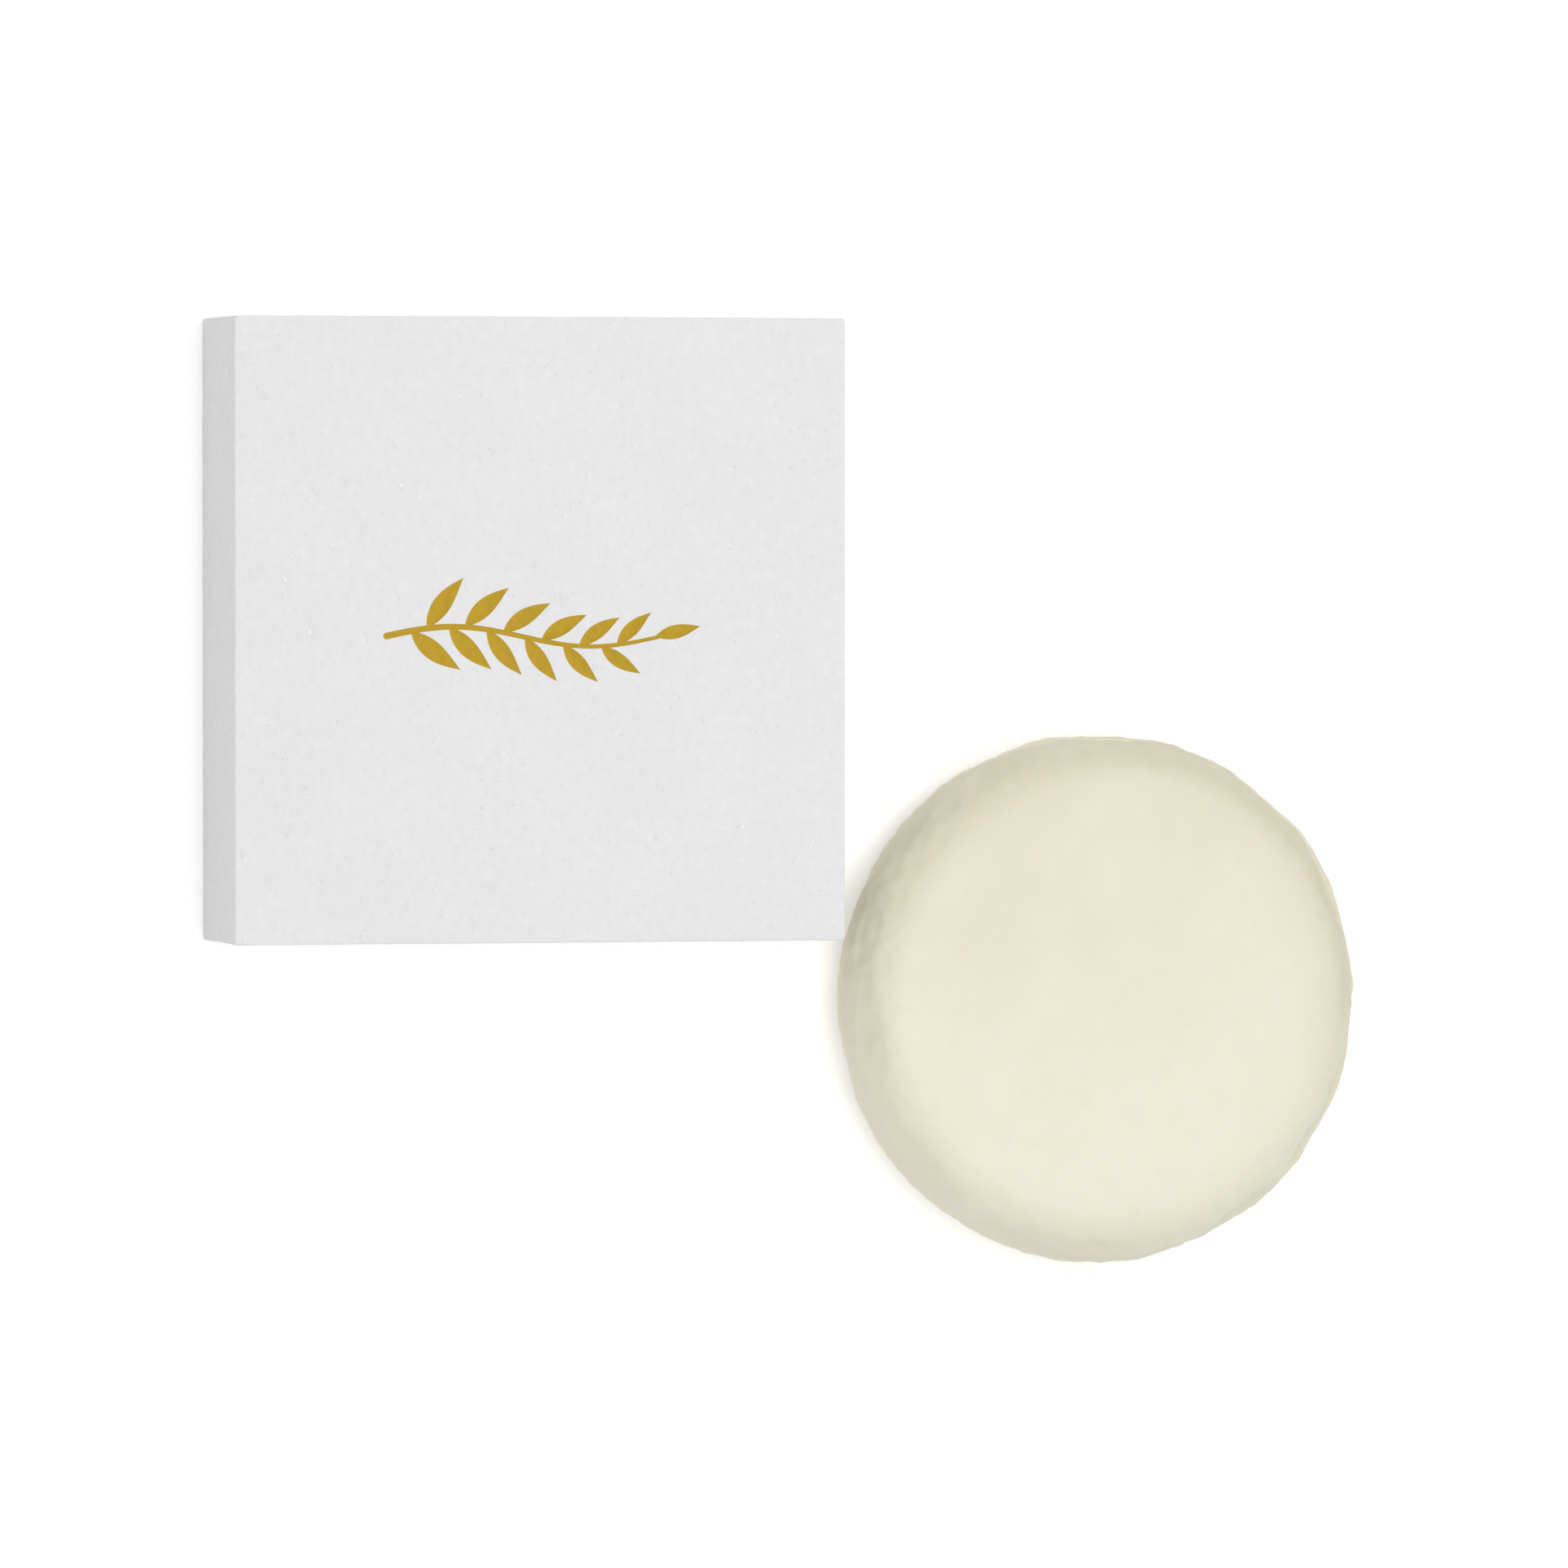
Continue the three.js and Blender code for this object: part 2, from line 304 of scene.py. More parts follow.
class Tree:
    """A material's nodes around one Principled shader.

    Attributes:
        bend_scale: How fine the noise is that bends the small marks, in cells.
        chance_step: How softly a cell is chosen to have a mark.
    """

    bend_scale: float = 2.6
    chance_step: float = 0.02

    def __init__(self, name: str, fixed: dict[str, object]) -> None:
        """Makes the material.

        Args:
            name: The material's name.
            fixed: What is the same all over the surface, by the shader's socket names.
        """
        self.material = bpy.data.materials.new(name)
        self.material.use_nodes = True
        self.nodes = self.material.node_tree.nodes
        self.shader = next(n for n in self.nodes if n.type == "BSDF_PRINCIPLED")
        for socket, value in fixed.items():
            self.shader.inputs[socket].default_value = value
        coordinates = self.nodes.new("ShaderNodeTexCoord")
        self.place = Socket(self, coordinates.outputs["Object"])

    def node(
        self, kind: str, settings: dict[str, object], sockets: dict[object, object], output: object = 0
    ) -> Socket:
        """Adds a node.

        Args:
            kind: The node's type.
            settings: Its settings, set before its sockets.
            sockets: Values or links by the socket's name or number.
            output: The name or number of the output that is wanted.

        Returns:
            That output.
        """
        node = self.nodes.new(kind)
        for name, value in settings.items():
            setattr(node, name, value)
        for key, value in sockets.items():
            if isinstance(value, Socket):
                self.material.node_tree.links.new(value.link, node.inputs[key])
            else:
                node.inputs[key].default_value = value
        return Socket(self, node.outputs[output])

    def noise(
        self, size: float, detail: float = 2, stretch: Colour = (1, 1, 1), shift: float = 0
    ) -> Socket:
        """Adds a cloudy pattern from 0 to 1 whose patches are about one size across.

        Args:
            size: The patches' size in metres.
            detail: How many finer layers it has.
            stretch: How much longer the patches are along X, Y and Z.
            shift: Moves the pattern, so that two of one size differ.

        Returns:
            The pattern's value.
        """
        scale = tuple(1 / (size * s) for s in stretch)
        sockets = {"Vector": self.place, "Location": (shift, shift, shift), "Scale": scale}
        vector = self.node("ShaderNodeMapping", {}, sockets)
        return self.node("ShaderNodeTexNoise", {}, {"Vector": vector, "Scale": 1.0, "Detail": detail})

    def specks(
        self,
        spacing: float,
        radius: float,
        share: float,
        stretch: Colour = (1, 1, 1),
        uneven: float = 0.5,
    ) -> Socket:
        """Adds small marks strewn at random, 1 in their middle and 0 outside.

        Args:
            spacing: The size of the cells that hold one mark each, in metres.
            radius: A mark's radius, as a share of its cell.
            share: How many of the cells have a mark, from 0 to 1.
            stretch: How much longer the marks are along X, Y and Z.
            uneven: How far from round they are.

        Returns:
            The marks' height.
        """
        scale = tuple(1 / (spacing * s) for s in stretch)
        vector = self.node("ShaderNodeMapping", {}, {"Vector": self.place, "Scale": scale})
        sockets = {"Vector": vector, "Scale": self.bend_scale, "Detail": 1.0}
        bend = self.node("ShaderNodeTexNoise", {}, sockets, 1)
        sockets = {0: bend, 1: (uneven, uneven, uneven), 2: vector}
        vector = self.node("ShaderNodeVectorMath", {"operation": "MULTIPLY_ADD"}, sockets)
        cell = self.node("ShaderNodeTexVoronoi", {}, {"Vector": vector, "Scale": 1.0})
        colour = Socket(self, cell.link.node.outputs["Color"])
        chance = self.node("ShaderNodeSeparateXYZ", {}, {0: colour})
        step = self.chance_step
        return (1 - cell.above(0.0, radius)) * (1 - chance.above(share - step, share + step))

    def mark(self) -> Socket:
        """Returns the mark that the piece carries from point to point."""
        return self.node("ShaderNodeAttribute", {"attribute_name": "mark"}, {}, "Fac")

    def across(self) -> tuple[Socket, Socket, Socket]:
        """Returns the place's X, Y and Z as three values."""
        parts = self.node("ShaderNodeSeparateXYZ", {}, {0: self.place}).link.node.outputs
        return Socket(self, parts[0]), Socket(self, parts[1]), Socket(self, parts[2])

    def mix(self, share: Socket, low: object, high: object) -> Socket:
        """Mixes two colours.

        Args:
            share: 0 for the low colour, 1 for the high one.
            low: A colour or a link.
            high: A colour or a link.

        Returns:
            The mixed colour.
        """
        ends = [end if isinstance(end, Socket) else (*end, 1) for end in (low, high)]
        return self.node("ShaderNodeMix", {"data_type": "RGBA"}, {0: share, 6: ends[0], 7: ends[1]}, 2)

    def wear(self, colour: Socket, rough: Socket | None, relief: Socket | None) -> bpy.types.Material:
        """Links what changes over the surface.

        Args:
            colour: The base colour.
            rough: The roughness, where it changes.
            relief: The height of the fine relief in millimetres, where there is one.

        Returns:
            The finished material.
        """
        links = self.material.node_tree.links
        links.new(colour.link, self.shader.inputs["Base Color"])
        if rough is not None:
            links.new(rough.link, self.shader.inputs["Roughness"])
        if relief is not None:
            bump = self.node("ShaderNodeBump", {}, {"Strength": 1.0, "Distance": MM, "Height": relief})
            links.new(bump.link, self.shader.inputs["Normal"])
        return self.material


# ---------------------------------------------------------------- finishes


@dataclass(frozen=True)
class CottonPaper:
    """White cotton paper with a felt-marked face: soft dimples darkened with painted shade, short
    paler fibres that also carry painted highlight, and patches of painted light and shade for the
    felt's relief.
    """

    white: Colour = (0.745, 0.745, 0.745)
    grey: Colour = (0.728, 0.728, 0.728)
    # The next two colours are painted shade and painted light that stand in for the felt's relief.
    hollow: Colour = (0.70, 0.70, 0.70)
    painted_felt_light: Colour = (0.79, 0.79, 0.79)
    # Painted shade for the dimples and pits, and the dark colour of the pits as specks.
    speck_and_painted_shade: Colour = (0.64, 0.64, 0.64)
    # The fibres' own paler tone, together with painted highlight on their raised tops.
    fibre: Colour = (0.95, 0.95, 0.95)

    def material(self) -> bpy.types.Material:
        """Builds the paper's material.

        Returns:
            The material.
        """
        tree = Tree("cotton_paper", {"Roughness": 0.9, "Specular IOR Level": 0.25})
        cloud = tree.noise(14 * MM, 3)
        felt = tree.noise(1.5 * MM, 2, (1, 1.3, 1))
        painted_felt_shading = tree.noise(1.2 * MM, 3, (1, 1.4, 1), shift=5.0)
        tooth = tree.noise(0.32 * MM, 2)
        dimples = tree.specks(1.6 * MM, 0.24, 0.28, (0.7, 1.3, 1), 0.9)
        fibres = tree.specks(1.9 * MM, 0.27, 0.42, (0.6, 1.0, 0.8), 1.3)
        pits = tree.specks(1.2 * MM, 0.2, 0.1, uneven=0.9)
        relief = felt * 0.1 + tooth * 0.022 + fibres * 0.085 - dimples * 0.045 - pits * 0.055
        colour = tree.mix(cloud.above(0.3, 0.75), self.grey, self.white)
        # Painted shade and painted light: darker and paler patches the size of the felt's marks, not
        # tied to the bumps.
        colour = tree.mix(painted_felt_shading.above(0.48, 0.72) * 0.5, colour, self.hollow)
        colour = tree.mix((1 - painted_felt_shading).above(0.52, 0.75) * 0.5, colour, self.painted_felt_light)
        # Painted shade darkens the dimples; the pits are darkened both as dark specks and with painted
        # shade.
        colour = tree.mix(dimples * 0.2 + pits * 0.4, colour, self.speck_and_painted_shade)
        # Pales the fibres: their own tone and a painted highlight on the raised marks.
        colour = tree.mix(fibres * 0.9, colour, self.fibre)
        return tree.wear(colour, felt * 0.12 + 0.84, relief)


@dataclass(frozen=True)
class LiningPaper:
    """Smooth white paper with a fine fibre grain."""

    white: Colour = (0.76, 0.75, 0.72)
    thread: Colour = (0.66, 0.64, 0.6)

    def material(self) -> bpy.types.Material:
        """Builds the lining's material.

        Returns:
            The material.
        """
        tree = Tree("lining_paper", {"Roughness": 0.75, "Specular IOR Level": 0.3})
        grain = tree.noise(0.5 * MM, 3, (2.4, 1, 1))
        cloud = tree.noise(9 * MM, 2)
        shade = tuple(0.95 * c for c in self.white)
        colour = tree.mix(cloud.above(0.3, 0.7), shade, self.white)
        colour = tree.mix(grain.above(0.58, 0.8) * 0.25, colour, self.thread)
        return tree.wear(colour, grain * 0.15 + 0.66, grain * 0.012)


@dataclass(frozen=True)
class Greyboard:
    """Solid board of recycled fibre: grey-brown, with dark and pale flecks."""

    pale: Colour = (0.4, 0.365, 0.32)
    dark: Colour = (0.29, 0.262, 0.225)
    thread: Colour = (0.24, 0.21, 0.18)
    ink: Colour = (0.13, 0.12, 0.13)
    pulp: Colour = (0.6, 0.57, 0.52)

    def material(self) -> bpy.types.Material:
        """Builds the board's material.

        Returns:
            The material.
        """
        tree = Tree("greyboard", {"Roughness": 0.93, "Specular IOR Level": 0.2})
        cloud = tree.noise(5 * MM, 3)
        fibre = tree.noise(0.6 * MM, 3, (2.6, 1, 1))
        flecks = tree.specks(1.6 * MM, 0.24, 0.3, (1.3, 0.8, 1))
        pale_flecks = tree.specks(2.3 * MM, 0.2, 0.25, (0.8, 1.5, 1))
        colour = tree.mix(cloud.above(0.25, 0.75), self.dark, self.pale)
        colour = tree.mix(fibre.above(0.55, 0.75) * 0.4, colour, self.thread)
        colour = tree.mix(flecks * 0.6, colour, self.ink)
        colour = tree.mix(pale_flecks * 0.6, colour, self.pulp)
        return tree.wear(colour, None, fibre * 0.03 + cloud * 0.02)


@dataclass(frozen=True)
class GummedPaper:
    """Brown gummed kraft paper with a straight machine grain."""

    brown: Colour = (0.47, 0.315, 0.165)
    thread: Colour = (0.3, 0.19, 0.09)

    def material(self) -> bpy.types.Material:
        """Builds the gummed paper's material.

        Returns:
            The material.
        """
        tree = Tree("gummed_paper", {"Roughness": 0.7})
        grain = tree.noise(0.5 * MM, 3, (1, 1, 4))
        cloud = tree.noise(4 * MM, 2)
        dark = tuple(0.82 * c for c in self.brown)
        colour = tree.mix(cloud.above(0.3, 0.7), dark, self.brown)
        colour = tree.mix(grain.above(0.55, 0.8) * 0.5, colour, self.thread)
        return tree.wear(colour, grain * 0.2 + 0.6, grain * 0.015)


@dataclass(frozen=True)
class Glassine:
    """Greaseproof glassine: smooth, cloudy and a little see-through."""

    cream: Colour = (0.80, 0.77, 0.67)
    pale: Colour = (0.88, 0.87, 0.82)

    def material(self) -> bpy.types.Material:
        """Builds the glassine's material.

        Returns:
            The material.
        """
        fixed = {"Alpha": 0.86, "Specular IOR Level": 0.55, "Coat Weight": 0.15, "Coat Roughness": 0.3}
        tree = Tree("glassine", fixed)
        cloud = tree.noise(3 * MM, 4)
        grain = tree.noise(0.4 * MM, 2, (1, 3, 1))
        colour = tree.mix(cloud.above(0.3, 0.8), self.cream, self.pale)
        return tree.wear(colour, cloud * 0.3 + 0.2, grain * 0.006)


@dataclass(frozen=True)
class GoldFoil:
    """Satin gold foil stamped on paper, whose tooth shows through it."""

    gold: Colour = (0.37, 0.24, 0.016)
    deep: Colour = (0.32, 0.2, 0.011)
    bare: Colour = (0.62, 0.55, 0.38)

    def material(self) -> bpy.types.Material:
        """Builds the foil's material.

        Returns:
            The material.
        """
        tree = Tree("gold_foil", {"Metallic": 0.6, "Specular IOR Level": 0.3})
        tooth = tree.noise(0.45 * MM, 2)
        cloud = tree.noise(2.2 * MM, 3)
        pinholes = tree.specks(0.9 * MM, 0.14, 0.1)
        colour = tree.mix(cloud.above(0.3, 0.7), self.deep, self.gold)
        colour = tree.mix(pinholes * 0.6, colour, self.bare)
        return tree.wear(colour, cloud * 0.2 + 0.4, tooth * 0.014 - pinholes * 0.01)


@dataclass(frozen=True)
class IvorySoap:
    """Dense ivory soap: a soft sheen, a faint cloudy tone, painted shade over its rounded edge and
    across its face, darker pared edges that are partly painted shade, and a painted highlight line
    round its outline.

    Attributes:
        middle: The puck's middle.
        radius: Its radius.
        half_height: Half its height.
        lean: How far the painted highlight line rises for each metre along X.
        line_half: Half the painted highlight line's width.
    """

    middle: tuple[float, float, float]
    radius: float
    half_height: float
    ivory: Colour = (0.79, 0.752, 0.62)
    cream: Colour = (0.80, 0.757, 0.63)
    # shade serves as painted shade across the face and as the curd's random darker tone.
    shade: Colour = (0.70, 0.66, 0.515)
    # rim is painted shade for the rounded edge.
    rim: Colour = (0.59, 0.555, 0.41)
    # pared is the cut soap's own darker tone together with painted shade down the rounded edge.
    pared: Colour = (0.575, 0.525, 0.375)
    # outline is a painted highlight.
    outline: Colour = (0.735, 0.71, 0.51)
    green: Colour = (0.755, 0.775, 0.63)
    lean: float = 0.068
    line_half: float = 2.3 * MM

    def material(self) -> bpy.types.Material:
        """Builds the soap's material.

        How far down its rounded edge a point is goes from 0 on the faces to 1 at mid height, and
        the mark on the puck is how deep it was pared there. Cloudy patterns are added to both, so
        that the inner borders of the bands wander; the bands carry painted shade, and the pared band
        also the cut soap's own tone. A painted highlight line runs round the widest place, tilted
        along X.

        Returns:
            The material.
        """
        fixed = {
            "Subsurface Weight": 0.25,
            "Subsurface Radius": (1.0, 0.75, 0.4),
            "Subsurface Scale": 1.6 * MM,
            "Specular IOR Level": 0.42,
        }
        tree = Tree("ivory_soap", fixed)
        cloud = tree.noise(13 * MM, 3)
        curd = tree.noise(2.8 * MM, 3, shift=3.0)
        crumb = tree.noise(1.1 * MM, 3)
        fine = tree.noise(0.7 * MM, 2)
        x, y, z = (axis - middle for axis, middle in zip(tree.across(), self.middle))
        down = 1 - abs(z) / self.half_height
        edge = (down + cloud * 0.16 + crumb * 0.05 - 0.1).above(-0.02, 0.3)
        ragged = cloud * 0.4 + curd * 0.24 + crumb * 0.16
        band = (down + tree.mark() * 0.22 + ragged - 0.4).above(0.46, 0.6)
        # Painted highlight: a pale line round the edge, tilted along X to follow the outline.
        line = 1 - (abs(z - x * self.lean) / self.line_half + crumb * 0.3).above(0.7, 1.4)
        # Painted shade: the face is darker towards the back left and lighter towards the front right.
        front = (x * 0.4 - y) / self.radius
        colour = tree.mix((front + cloud - 0.5).above(-1.3, 0.9), self.shade, self.ivory)
        colour = tree.mix(cloud.above(0.42, 0.7) * 0.3, colour, self.cream)
        colour = tree.mix(curd.above(0.52, 0.72) * 0.15, colour, self.shade)
        # Painted shade over the rounded edge, heavier towards the right and the back.
        colour = tree.mix(edge * ((x * 0.38 + y * 0.1) / self.radius + 0.5), colour, self.rim)
        front_right = ((x - y) / self.radius + cloud * 0.5 - 0.25).above(0.85, 1.4)
        colour = tree.mix(front_right * 0.6, colour, self.green)
        # The pared band: the knife-cut soap's own darker tone, and painted shade down the edge,
        # heavier towards the right.
        colour = tree.mix(band * (x / self.radius * 0.16 + 0.2), colour, self.pared)
        colour = tree.mix(line * 0.6, colour, self.outline)
        rough = curd * 0.16 + edge * 0.08 + 0.36
        return tree.wear(colour, rough, curd * 0.02 + fine * 0.006 + band * crumb * 0.05)


@dataclass(frozen=True)
class PaleSurface:
    """The plain pale surface that everything lies on."""

    white: Colour = (0.93, 0.93, 0.93)
    glow: float = 0.2

    def material(self) -> bpy.types.Material:
        """Builds the surface's material.

        Returns:
            The material.
        """
        fixed = {"Roughness": 0.95, "Specular IOR Level": 0.0, "Emission Strength": self.glow}
        tree = Tree("pale_surface", {**fixed, "Emission Color": (1, 1, 1, 1)})
        cloud = tree.noise(80 * MM, 1)
        shade = tuple(0.995 * c for c in self.white)
        return tree.wear(tree.mix(cloud, shade, self.white), None, None)


# ---------------------------------------------------------------- the box


class Body(Enum):
    """The rigid bodies that pieces ride on."""

    TRAY = "tray"
    LID = "lid"
    PUCK = "puck"


def fit(
    piece: bpy.types.Object, material: bpy.types.Material, body: Body, slot: str, *nodes: str
) -> None:
    """Gives a finished piece its material and its place in the frame.

    Args:
        piece: The finished piece.
        material: Its material.
        body: The body it rides on.
        slot: The record's material slot; not used.
        nodes: The nodes of the frame that it stands for.
    """
    piece.data.materials.append(material)
    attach(piece, body.value)
    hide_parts(*nodes)
    LOG.info("%s: %d faces, on %s", piece.name, len(piece.data.polygons), body.value)


@dataclass(frozen=True)
class PaperFace:
    """The unevenness of the cotton paper's outer face, which always goes inwards.

    Attributes:
        felt: The small marks of the felt.
        cockle: The slow waves of the whole sheet.
        felt_depth: How deep the felt's marks go.
        cockle_depth: How deep the waves go.
        middle: The mean depth, in the two depths' own units.
        deepest: The most that any point goes in.
    """

    felt: Unevenness = Unevenness(11, 1.3 * MM, 3.2 * MM, 60)
    cockle: Unevenness = Unevenness(12, 6 * MM, 22 * MM, 24)
    felt_depth: float = 0.007 * MM
    cockle_depth: float = 0.012 * MM
    middle: float = 3.0
    deepest: float = 0.12 * MM

    def depth(self, points: np.ndarray) -> np.ndarray:
        """Works out how far the face lies under its flat place.

        Args:
            points: Rows of three coordinates.

        Returns:
            The depth at each of them.
        """
        felt = self.felt_depth * (self.felt.height(points) + self.middle)
        cockle = self.cockle_depth * (self.cockle.height(points) + self.middle)
        return np.clip(felt + cockle, 0, self.deepest)


@dataclass(kw_only=True)
class SquareWrap:
    """A sheet of cotton paper folded round a square of boards.

    The sheet is a profile of rows carried round a square outline with rounded corners. A row is
    the distance inwards from the outside, and a height. The corner's radius shrinks by that
    distance, so that every row is parallel to the outside one.
    """

    half: float
    wall: float
    paper: float = 0.25 * MM
    corner: float = 0.6 * MM
    fold: float = 0.3 * MM
    columns: int = 180
    side_rows: int = 44
    inner_rows: int = 12
    hidden_rows: int = 2
    corner_steps: int = 6
    fold_steps: int = 5

    def outline(self, inwards: float) -> np.ndarray:
        """Works out one row's square outline, anticlockwise from the right side's front end.

        Each side is straight between its corners' centres, and each corner is a quarter circle.

        Args:
            inwards: The row's distance from the outside.

        Returns:
            The outline's points in X and Y.
        """
        half = self.half - inwards
        radius = max(self.corner - inwards, 0.0)
        along = np.linspace(-1, 1, self.columns + 1) * (half - radius)
        turn = np.linspace(0, math.pi / 2, self.corner_steps + 2)[1:-1]
        side = np.stack([np.full_like(along, half), along], axis=-1)
        bend = np.stack([np.cos(turn), np.sin(turn)], axis=-1) * radius + (half - radius)
        right = np.concatenate([side, bend])
        x, y = right.T
        turns = (right, np.stack([-y, x], -1), -right, np.stack([y, -x], -1))
        return np.concatenate(turns)

    def rows(self, profile: np.ndarray) -> np.ndarray:
        """Carries a profile round the outline.

        Args:
            profile: Rows of a distance inwards and a height.

        Returns:
            A grid with a row for each of the profile's, going once round.
        """
        flat = np.stack([self.outline(inwards) for inwards, _ in profile])
        heights = np.broadcast_to(profile[:, 1, None, None], flat.shape[:2] + (1,))
        return np.concatenate([flat, heights], axis=-1)

    def bend(self, inwards: float, height: float, start: float, end: float) -> np.ndarray:
        """Works out a rounded fold of the profile, as part of a circle.

        Args:
            inwards: The circle's middle, as a distance inwards.
            height: The middle's height.
            start: The angle to start at, in degrees from straight out.
            end: The angle to end at.

        Returns:
            The fold's rows.
        """
        angle = np.radians(np.linspace(start, end, self.fold_steps + 1))
        circle = np.stack([-np.cos(angle), np.sin(angle)], axis=-1) * self.fold
        return circle + [inwards, height]

    @staticmethod
    def run(inwards: tuple[float, float], height: tuple[float, float], steps: int) -> np.ndarray:
        """Returns the rows of a straight run of the profile, both ends included."""
        return np.stack([np.linspace(*inwards, steps + 1), np.linspace(*height, steps + 1)], axis=-1)

    def dimple(self, piece: bpy.types.Object, height: float) -> None:
        """Presses the paper's unevenness into the sides and into whatever is above a height.

        Args:
            piece: The folded sheet.
            height: The height of the topmost face, which shows too.
        """
        points = vertices_of(piece)
        near = 0.5 * self.paper
        shown = np.abs(points[:, :2]).max(axis=1) > self.half - near
        shown |= points[:, 2] > height - near
        press(piece, PaperFace().depth(points) * shown)


@dataclass(kw_only=True)
class LidWrap(SquareWrap):
    """The lid's sheet: over the top, down the sides, round the rim and up inside."""

    top: float
    rim: float
    turn_in: float = 14 * MM
    border: float = 2 * MM
    border_rows: int = 6

    def piece(self) -> bpy.types.Object:
        """Builds the sheet.

        The middle of the top is a plain square grid. From its border the profile goes out to the
        fold, down the side, round the rim, up inside to the sheet's cut edge, and back between
        the boards and the sheet to the middle of the top's underside.

        Returns:
            The sheet.
        """
        fold, paper, wall = self.fold, self.paper, self.wall
        edge = self.rim + self.turn_in
        under = self.top - paper
        profile = np.concatenate([
            self.run((self.border, fold), (self.top, self.top), self.border_rows),
            self.bend(fold, self.top - fold, 90, 0)[1:],
            self.run((0, 0), (self.top - fold, self.rim + fold), self.side_rows)[1:],
            self.bend(fold, self.rim + fold, 0, -90)[1:],
            self.bend(wall - fold, self.rim + fold, -90, -180),
            self.run((wall, wall), (self.rim + fold, edge), self.inner_rows)[1:],
            self.run((wall - paper, wall - paper), (edge, self.rim + paper), self.hidden_rows),
            self.run((paper, paper), (self.rim + paper, under), self.hidden_rows),
            [[self.border, under], [self.half, under]],
        ])
        shell = Shell()
        shell.grid(self.rows(profile), around=True)
        lines = np.linspace(-1, 1, self.columns + 1) * (self.half - self.border)
        x, y = np.meshgrid(lines, lines, indexing="ij")
        shell.grid(np.stack([x, y, np.full_like(x, self.top)], axis=-1))
        piece = shell.piece("lid_wrap")
        self.dimple(piece, self.top)
        return piece


@dataclass(kw_only=True)
class TrayWrap(SquareWrap):
    """The tray's sheet: turned under the bottom, up the sides, over the rim and down inside."""

    base: float
    rim: float
    floor: float
    turn_under: float = 11 * MM
    under_rows: int = 5

    def piece(self) -> bpy.types.Object:
        """Builds the sheet as one closed ring.

        The profile goes from the cut edge under the bottom out to the fold, up the side, over the
        rim, down inside to the other cut edge, and back between the boards and the sheet.

        Returns:
            The sheet.
        """
        fold, paper, wall = self.fold, self.paper, self.wall
        under = self.turn_under
        profile = np.concatenate([
            self.run((under, fold), (self.base, self.base), self.under_rows),
            self.bend(fold, self.base + fold, -90, 0)[1:],
            self.run((0, 0), (self.base + fold, self.rim - fold), self.side_rows)[1:],
            self.bend(fold, self.rim - fold, 0, 90)[1:],
            self.bend(wall - fold, self.rim - fold, 90, 180),
            self.run((wall, wall), (self.rim - fold, self.floor), self.inner_rows)[1:],
            self.run((wall - paper, wall - paper), (self.floor, self.rim - paper), self.hidden_rows),
            self.run((paper, paper), (self.rim - paper, self.base + paper), self.hidden_rows),
            [[under, self.base + paper], [under, self.base]],
        ])
        shell = Shell()
        shell.grid(self.rows(profile)[::-1], around=True)
        piece = shell.piece("tray_wrap")
        self.dimple(piece, self.rim)
        return piece


@dataclass
class Boards:
    """The greyboard panels: sawn square, with edges that the knife has softened."""

    softness: float = 0.12 * MM
    spacing: float = 3 * MM
    rough: Unevenness = Unevenness(21, 5 * MM, 14 * MM)
    rough_depth: float = 0.008 * MM
    middle: float = 2.5

    def piece(self, node: str) -> bpy.types.Object:
        """Builds one panel.

        Args:
            node: The node of the frame that it stands for.

        Returns:
            The panel.
        """
        low, high = corners_of(node)
        count = np.maximum((high - low) / self.spacing, 2).astype(int)
        lines = tuple(edge_lines(low[k], high[k], self.softness, count[k]) for k in range(3))
        shell = Shell()
        shell.box(lines, self.softness)
        panel = shell.piece(node.replace("_board", "_greyboard"))
        rough = self.rough.height(vertices_of(panel)) + self.middle
        press(panel, self.rough_depth * np.clip(rough, 0, 2 * self.middle))
        return panel


@dataclass
class PastedSheets:
    """The thin sheets pasted inside the lid, inside the tray and under it."""

    softness: float = 0.06 * MM
    count: int = 60
    waves: Unevenness = Unevenness(31, 9 * MM, 30 * MM)
    wave_depth: float = 0.012 * MM
    middle: float = 2.5

    def piece(self, node: str) -> bpy.types.Object:
        """Builds one sheet, a little wavy from its paste.

        Args:
            node: The node of the frame that it stands for.

        Returns:
            The sheet.
        """
        low, high = corners_of(node)
        across = tuple(edge_lines(low[k], high[k], self.softness, self.count) for k in range(2))
        up = edge_lines(low[2], high[2], self.softness, 2)
        shell = Shell()
        shell.box((*across, up), self.softness)
        sheet = shell.piece(node.replace("_sheet", "_paper"))
        waves = self.waves.height(vertices_of(sheet)) + self.middle
        press(sheet, self.wave_depth * np.clip(waves, 0, 2 * self.middle))
        return sheet


